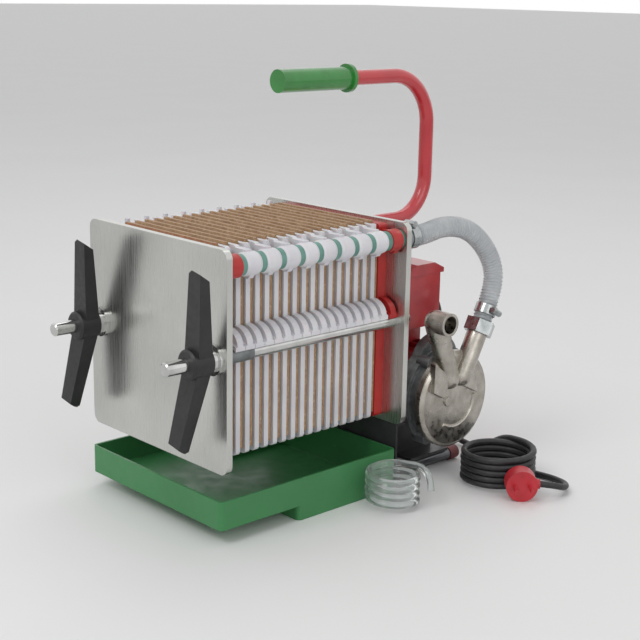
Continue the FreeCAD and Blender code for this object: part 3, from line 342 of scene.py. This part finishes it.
class Shell:
    """Mesh under construction, in metres."""

    def __init__(self):
        self.points, self.faces, self.slots = [], [], []

    def add(self, points, faces, slot=0):
        base = len(self.points)
        self.points += [Vector(point) for point in points]
        self.faces += [[base + at for at in face] for face in faces]
        self.slots += [slot]*len(faces)
        return self

    def swept(self, line, section, slot=0):
        """Tube through a line of points; section gives ring points for a place along the line."""
        rings, points, faces = [], [], []
        across = None
        total = 0.0
        for n, point in enumerate(line):
            before, after = line[max(n - 1, 0)], line[min(n + 1, len(line) - 1)]
            ahead = (after - before).normalized()
            if across is None:
                across = ahead.orthogonal().normalized()
            across = (across - ahead*across.dot(ahead)).normalized()
            up = ahead.cross(across)
            if n:
                total += (point - line[n - 1]).length
            ring = []
            for right, high in section(total):
                ring.append(len(points))
                points.append(point + across*right + up*high)
            rings.append(ring)
        size = len(rings[0])
        for low, high in zip(rings, rings[1:]):
            for n in range(size):
                after = (n + 1) % size
                faces.append([low[n], low[after], high[after], high[n]])
        faces.append(list(reversed(rings[0])))
        faces.append(rings[-1])
        return self.add(points, faces, slot)

    def piece(self, name, body, slot, materials, replaces=(), smooth=40):
        mesh = bpy.data.meshes.new(name)
        mesh.from_pydata([tuple(point) for point in self.points], [], self.faces)
        for material in materials:
            mesh.materials.append(material)
        mesh.polygons.foreach_set("material_index", self.slots)
        tidy = bmesh.new()
        tidy.from_mesh(mesh)
        bmesh.ops.recalc_face_normals(tidy, faces=tidy.faces)
        tidy.to_mesh(mesh)
        tidy.free()
        mesh.shade_smooth()
        mesh.set_sharp_from_angle(angle=math.radians(smooth))
        thing = in_scene(name, mesh)
        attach(thing, body)
        if replaces:
            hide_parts(*replaces)
        return thing


def smooth_route(name, points, resolution):
    """Data of one open spline that the points control."""
    data = bpy.data.curves.new(name, "CURVE")
    data.dimensions = "3D"
    data.resolution_u = resolution
    spline = data.splines.new("NURBS")
    spline.points.add(len(points) - 1)
    for held, point in zip(spline.points, points):
        held.co = (*point, 1)
    spline.order_u = 3
    spline.use_endpoint_u = True
    return data


def in_scene(name, data):
    thing = bpy.data.objects.new(name, data)
    bpy.context.scene.collection.objects.link(thing)
    return thing


def cord_curve(name, points, radius, material):
    """Smooth cord with a round section."""
    data = smooth_route(name, points, CORD_RESOLUTION)
    data.bevel_depth = radius
    data.bevel_resolution = 6
    data.use_fill_caps = True
    data.materials.append(material)
    return in_scene(name, data)


def spline_line(points, resolution=12):
    """Points along the smooth spline that the given points control."""
    data = smooth_route("route", points, resolution)
    holder = in_scene("route", data)
    mesh = bpy.data.meshes.new_from_object(holder)
    line = [vertex.co.copy() for vertex in mesh.vertices]
    bpy.data.objects.remove(holder)
    bpy.data.curves.remove(data)
    bpy.data.meshes.remove(mesh)
    return line


def evenly(line, step):
    """The same line with points a fixed step apart."""
    spaced, left = [line[0]], step
    for before, after in zip(line, line[1:]):
        run = (after - before).length
        while run >= left:
            before = before + (after - before).normalized()*left
            spaced.append(before)
            run -= left
            left = step
        left -= run
    if (line[-1] - spaced[-1]).length > step*SHORTEST_STEP:
        spaced.append(line[-1])
    return spaced


# --- properties ----------------------------------------------------------------------------

class PressSizes(bpy.types.PropertyGroup):
    """Sizes a user may change."""
    lead_thick: FloatProperty(name="Lead", description="Diameter of the mains lead", default=0.008,
                              unit="LENGTH")
    coil_turns: FloatProperty(name="Lead coil turns", description="Turns in the mains lead's coil",
                              default=4.972)
    clear_thick: FloatProperty(name="Clear hose", description="Diameter of the clear hose", default=0.0085,
                               unit="LENGTH")
    clear_turns: FloatProperty(name="Clear hose turns", description="Turns in the clear hose's coil",
                               default=4.23)
    hose_pitch: FloatProperty(name="Hose spiral pitch",
                              description="Distance between the transfer hose's ribs",
                              default=0.0042, unit="LENGTH")


class StageLook(bpy.types.PropertyGroup):
    """Light and floor."""
    floor_colour: FloatVectorProperty(name="Floor", description="Floor colour", subtype="COLOR",
                                      default=(0.86, 0.86, 0.86))
    key_power: FloatProperty(name="Key", description="Power of the main lamp", default=26.0, unit="POWER")
    fill_power: FloatProperty(name="Fill", description="Power of the side lamp", default=10.0, unit="POWER")
    ambient: FloatProperty(name="Ambient", description="Strength of the surrounding light", default=0.55)


# --- operators ------------------------------------------------------------------------------

def lamp(name, where, target, size, power):
    data = bpy.data.lights.new(name, "AREA")
    data.shape = "DISK"
    data.size = size
    data.energy = power
    thing = in_scene(name, data)
    thing.location = where
    thing.rotation_euler = (Vector(target) - Vector(where)).to_track_quat("-Z", "Y").to_euler()


CAMERA_AT = (1.2025, -1.0557, 0.6099)
CAMERA_YAW, CAMERA_PITCH, CAMERA_ROLL = 0.8201, -0.2473, 0.0178    # radians
CAMERA_LENS, CAMERA_SENSOR, CAMERA_REACH = 74.74, 36, 50
FLOOR_HALF = 30
FLOOR_DROP = 0.0002    # keeps the floor just under the feet
LAMPS = (("key", (0.3, -2.2, 2.6), (0, 0, 0.2), 1.6, "key_power"),
         ("fill", (2.6, -0.2, 1.5), (0.1, 0, 0.2), 1.8, "fill_power"),
         ("top", (-0.6, 0.9, 2.8), (0, 0, 0.2), 1.8, "fill_power"))


class PRESS_OT_stage(bpy.types.Operator):
    """Camera, floor, lamps and surroundings"""
    bl_idname = "press.stage"
    bl_label = "Stage"

    def execute(self, context):
        look = context.scene.press_stage
        context.scene.camera = self.camera()
        context.scene.view_settings.view_transform = "Standard"
        self.floor(tuple(look.floor_colour))
        self.surroundings(context, look.ambient)
        for name, where, target, size, power in LAMPS:
            lamp(name, where, target, size, getattr(look, power))
        return {"FINISHED"}

    @staticmethod
    def camera():
        data = bpy.data.cameras.new("camera")
        data.sensor_width = CAMERA_SENSOR
        data.lens = CAMERA_LENS
        data.clip_end = CAMERA_REACH
        yaw, pitch, roll = CAMERA_YAW, CAMERA_PITCH, CAMERA_ROLL
        ahead = Vector((-math.sin(yaw)*math.cos(pitch), math.cos(yaw)*math.cos(pitch), math.sin(pitch)))
        level = Vector((math.cos(yaw), math.sin(yaw), 0))
        upright = level.cross(ahead)
        right = math.cos(roll)*level + math.sin(roll)*upright
        above = -math.sin(roll)*level + math.cos(roll)*upright
        turn = Matrix((right, above, -ahead)).transposed()
        camera = in_scene("camera", data)
        camera.matrix_world = Matrix.Translation(Vector(CAMERA_AT)) @ turn.to_4x4()
        return camera

    @staticmethod
    def floor(colour):
        reach = FLOOR_HALF
        corners = [(-reach, -reach, 0), (reach, -reach, 0), (reach, reach, 0), (-reach, reach, 0)]
        mesh = bpy.data.meshes.new("floor")
        mesh.from_pydata(corners, [], [[0, 1, 2, 3]])
        ground = in_scene("floor", mesh)
        ground.location.z = -FLOOR_DROP
        paint = Finish("floor", colour, 0.6)
        paint.tint(paint.noise(3, 2), tuple(part*0.985 for part in colour))
        mesh.materials.append(paint.material)

    @staticmethod
    def seen_directly(maker):
        """One where a ray comes from the eye, a mirror or glass."""
        path = maker.nodes.new("ShaderNodeLightPath")
        first = maker.nodes.new("ShaderNodeMath")
        first.operation = "MAXIMUM"
        maker.links.new(path.outputs["Is Camera Ray"], first.inputs[0])
        maker.links.new(path.outputs["Is Glossy Ray"], first.inputs[1])
        second = maker.nodes.new("ShaderNodeMath")
        second.operation = "MAXIMUM"
        maker.links.new(first.outputs[0], second.inputs[0])
        maker.links.new(path.outputs["Is Transmission Ray"], second.inputs[1])
        return second.outputs[0]

    def surroundings(self, context, strength):
        world = bpy.data.worlds.new("surroundings")
        context.scene.world = world
        world.use_nodes = True
        tree = world.node_tree
        base = tree.nodes["Background"]
        base.inputs["Color"].default_value = (1, 1, 1, 1)
        base.inputs["Strength"].default_value = strength
        white = tree.nodes.new("ShaderNodeBackground")
        white.inputs["Color"].default_value = (1, 1, 1, 1)
        white.inputs["Strength"].default_value = 1.0
        mix = tree.nodes.new("ShaderNodeMixShader")
        tree.links.new(self.seen_directly(tree), mix.inputs["Fac"])
        tree.links.new(base.outputs[0], mix.inputs[1])
        tree.links.new(white.outputs[0], mix.inputs[2])
        tree.links.new(mix.outputs[0], tree.nodes["World Output"].inputs["Surface"])


LEAD_TO_COIL = [(30, 390, 222), (30, 424, 222), (31, 446, 196), (33, 452, 156), (36, 452, 116), (40, 452,
                                                                                                 76),
                (46, 454, 38), (62, 456, 10), (88, 458, 4.5), (112, 457, 8), (138, 452, 26), (163, 441, 40),
                (192, 436, 44)]
LEAD_TO_PLUG = [(184.4, 435.3, 4), (214, 440.5, 4), (243, 444, 4.5), (268, 436, 6), (281, 414, 11),
                (277.7, 394.2, 18), (266.9, 382.6, 19.5)]
CLEAR_END = [(157.8, 260.4, 43.7), (179, 262, 47), (196, 261, 37), (200, 258, 22)]
LEAD_COIL = {"centre": (192, 392), "radius": 43.6, "start": 90, "from_z": 44, "to_z": 4, "wobble": 0.4}
CLEAR_COIL = {"centre": (161.4, 231), "radius": 29.4, "start": 180, "from_z": 4.3, "to_z": 43.7,
              "wobble": 0.3}
POINTS_PER_TURN = 16
WOBBLE_RATE = 2.7


def helix(centre, radius, start, from_z, to_z, wobble, turns):
    """Control points of a coil that winds clockwise, seen from above, from one height to another."""
    count = round(turns*POINTS_PER_TURN)
    reach = radius/math.cos(math.pi/POINTS_PER_TURN)
    points = []
    for n in range(count + 1):
        part = n/count
        angle = math.radians(start) - 2*math.pi*turns*part
        out = reach + wobble*math.sin(WOBBLE_RATE*angle)
        points.append(spot(centre[0] + out*math.cos(angle), centre[1] + out*math.sin(angle),
                           from_z + (to_z - from_z)*part))
    return points


class PRESS_OT_cords(bpy.types.Operator):
    """Mains lead with its coil and plug, and the loose clear hose"""
    bl_idname = "press.cords"
    bl_label = "Cords"

    def execute(self, context):
        sizes = context.scene.press_sizes
        dress("mains_plug")
        radius = sizes.lead_thick/2
        route = [spot(*point) for point in LEAD_TO_COIL[:-1]]
        route += helix(**LEAD_COIL, turns=sizes.coil_turns)
        route += [spot(*point) for point in LEAD_TO_PLUG[1:]]
        line = spline_line(route)
        lead = cord_curve("mains_cord", route, radius, finish("lead_black"))
        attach(lead, "frame")
        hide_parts("mains_lead", "lead_coil", "plug_lead")

        route = helix(**CLEAR_COIL, turns=sizes.clear_turns)
        route += [spot(*point) for point in CLEAR_END[1:]]
        line = spline_line(route)
        hose = cord_curve("clear_hose", route, sizes.clear_thick/2, finish("clear_tube"))
        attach(hose, "frame")
        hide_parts("clear_coil", "clear_hose_end")
        return {"FINISHED"}


HOSE_ROUTE = [(114, 286, 314.5), (114, 320, 314.5), (117, 352, 323), (125, 388, 318), (132, 416, 294),
              (139, 430, 262), (142, 422.6, 229.1), (142, 406.7, 199.1)]
HOSE_WALL, RIB_HIGH = 0.0117, 0.0012    # metres
RING_STEPS, STEPS_PER_RIB = 36, 6
ROUTE_RESOLUTION = 24


def ribbed(pitch):
    """Ring of the hose's section at a place along it, with the rib wound round as a screw."""
    def section(total):
        ring = []
        for n in range(RING_STEPS):
            angle = 2*math.pi*n/RING_STEPS
            wave = 0.5 + 0.5*math.cos(2*math.pi*total/pitch - angle)
            radius = HOSE_WALL + RIB_HIGH*wave**3
            ring.append((radius*math.cos(angle), radius*math.sin(angle)))
        return ring
    return section


class PRESS_OT_hose(bpy.types.Operator):
    """Spiral-ribbed transfer hose and its clips"""
    bl_idname = "press.hose"
    bl_label = "Transfer hose"

    def execute(self, context):
        pitch = context.scene.press_sizes.hose_pitch
        line = spline_line([spot(*point) for point in HOSE_ROUTE], ROUTE_RESOLUTION)
        shell = Shell().swept(evenly(line, pitch/STEPS_PER_RIB), ribbed(pitch))
        shell.piece("ribbed_hose", "frame", "hose_clear", [finish("hose_clear")], ["transfer_hose"],
                    smooth=80)
        dress("hose_clips", "hose_barbs", "union_nut")
        return {"FINISHED"}


class PRESS_OT_pack(bpy.types.Operator):
    """Filter plates, sheets, heads and gaskets"""
    bl_idname = "press.pack"
    bl_label = "Plate pack"

    def execute(self, context):
        dress(*nodes_named("filter_plate"), "filter_sheets", "front_head", "rear_head",
              *nodes_named("port_gaskets"))
        return {"FINISHED"}


class PRESS_OT_clamp(bpy.types.Operator):
    """End plates, tie rods, sleeves, clamping nuts, washers and handles"""
    bl_idname = "press.clamp"
    bl_label = "Clamp"

    def execute(self, context):
        dress("front_end_plate", "rear_end_plate", *nodes_named("tie_rod"), "rod_sleeves", "rear_nuts",
              "clamp_washers",
              *nodes_named("clamp_handle"))
        return {"FINISHED"}


class PRESS_OT_base(bpy.types.Operator):
    """Drip tray, rails, cross beam and carrying handle"""
    bl_idname = "press.base"
    bl_label = "Base"

    def execute(self, context):
        dress("drip_tray", "base_rails", "rail_caps", "cross_beam", "carry_handle", "carry_grip")
        return {"FINISHED"}


class PRESS_OT_drive(bpy.types.Operator):
    """Motor, terminal box and pump"""
    bl_idname = "press.drive"
    bl_label = "Motor and pump"

    def execute(self, context):
        dress("motor_body", "motor_cowl", "motor_bracket", "motor_saddle", "terminal_box", "terminal_lid",
              "lead_gland",
              "pump_casing", "pump_cover", "pump_elbow")
        return {"FINISHED"}


class PRESS_PT_panel(bpy.types.Panel):
    """Lists the steps"""
    bl_idname = "PRESS_PT_panel"
    bl_label = "Filter Press"
    bl_space_type = "VIEW_3D"
    bl_region_type = "UI"
    bl_category = "Filter Press"

    def draw(self, context):
        for operator in OPERATORS:
            self.layout.operator(operator.bl_idname)


OPERATORS = (PRESS_OT_stage, PRESS_OT_cords, PRESS_OT_hose, PRESS_OT_pack, PRESS_OT_clamp, PRESS_OT_base,
             PRESS_OT_drive)
CLASSES = (PressSizes, StageLook, *OPERATORS, PRESS_PT_panel)


def register():
    for made in CLASSES:
        bpy.utils.register_class(made)
    bpy.types.Scene.press_sizes = PointerProperty(type=PressSizes)
    bpy.types.Scene.press_stage = PointerProperty(type=StageLook)


def unregister():
    del bpy.types.Scene.press_stage
    del bpy.types.Scene.press_sizes
    for made in reversed(CLASSES):
        bpy.utils.unregister_class(made)


def main():
    register()
    bpy.ops.press.stage()
    bpy.ops.press.cords()
    bpy.ops.press.hose()
    bpy.ops.press.pack()
    bpy.ops.press.clamp()
    bpy.ops.press.base()
    bpy.ops.press.drive()


if __name__ == "__main__":
    main()
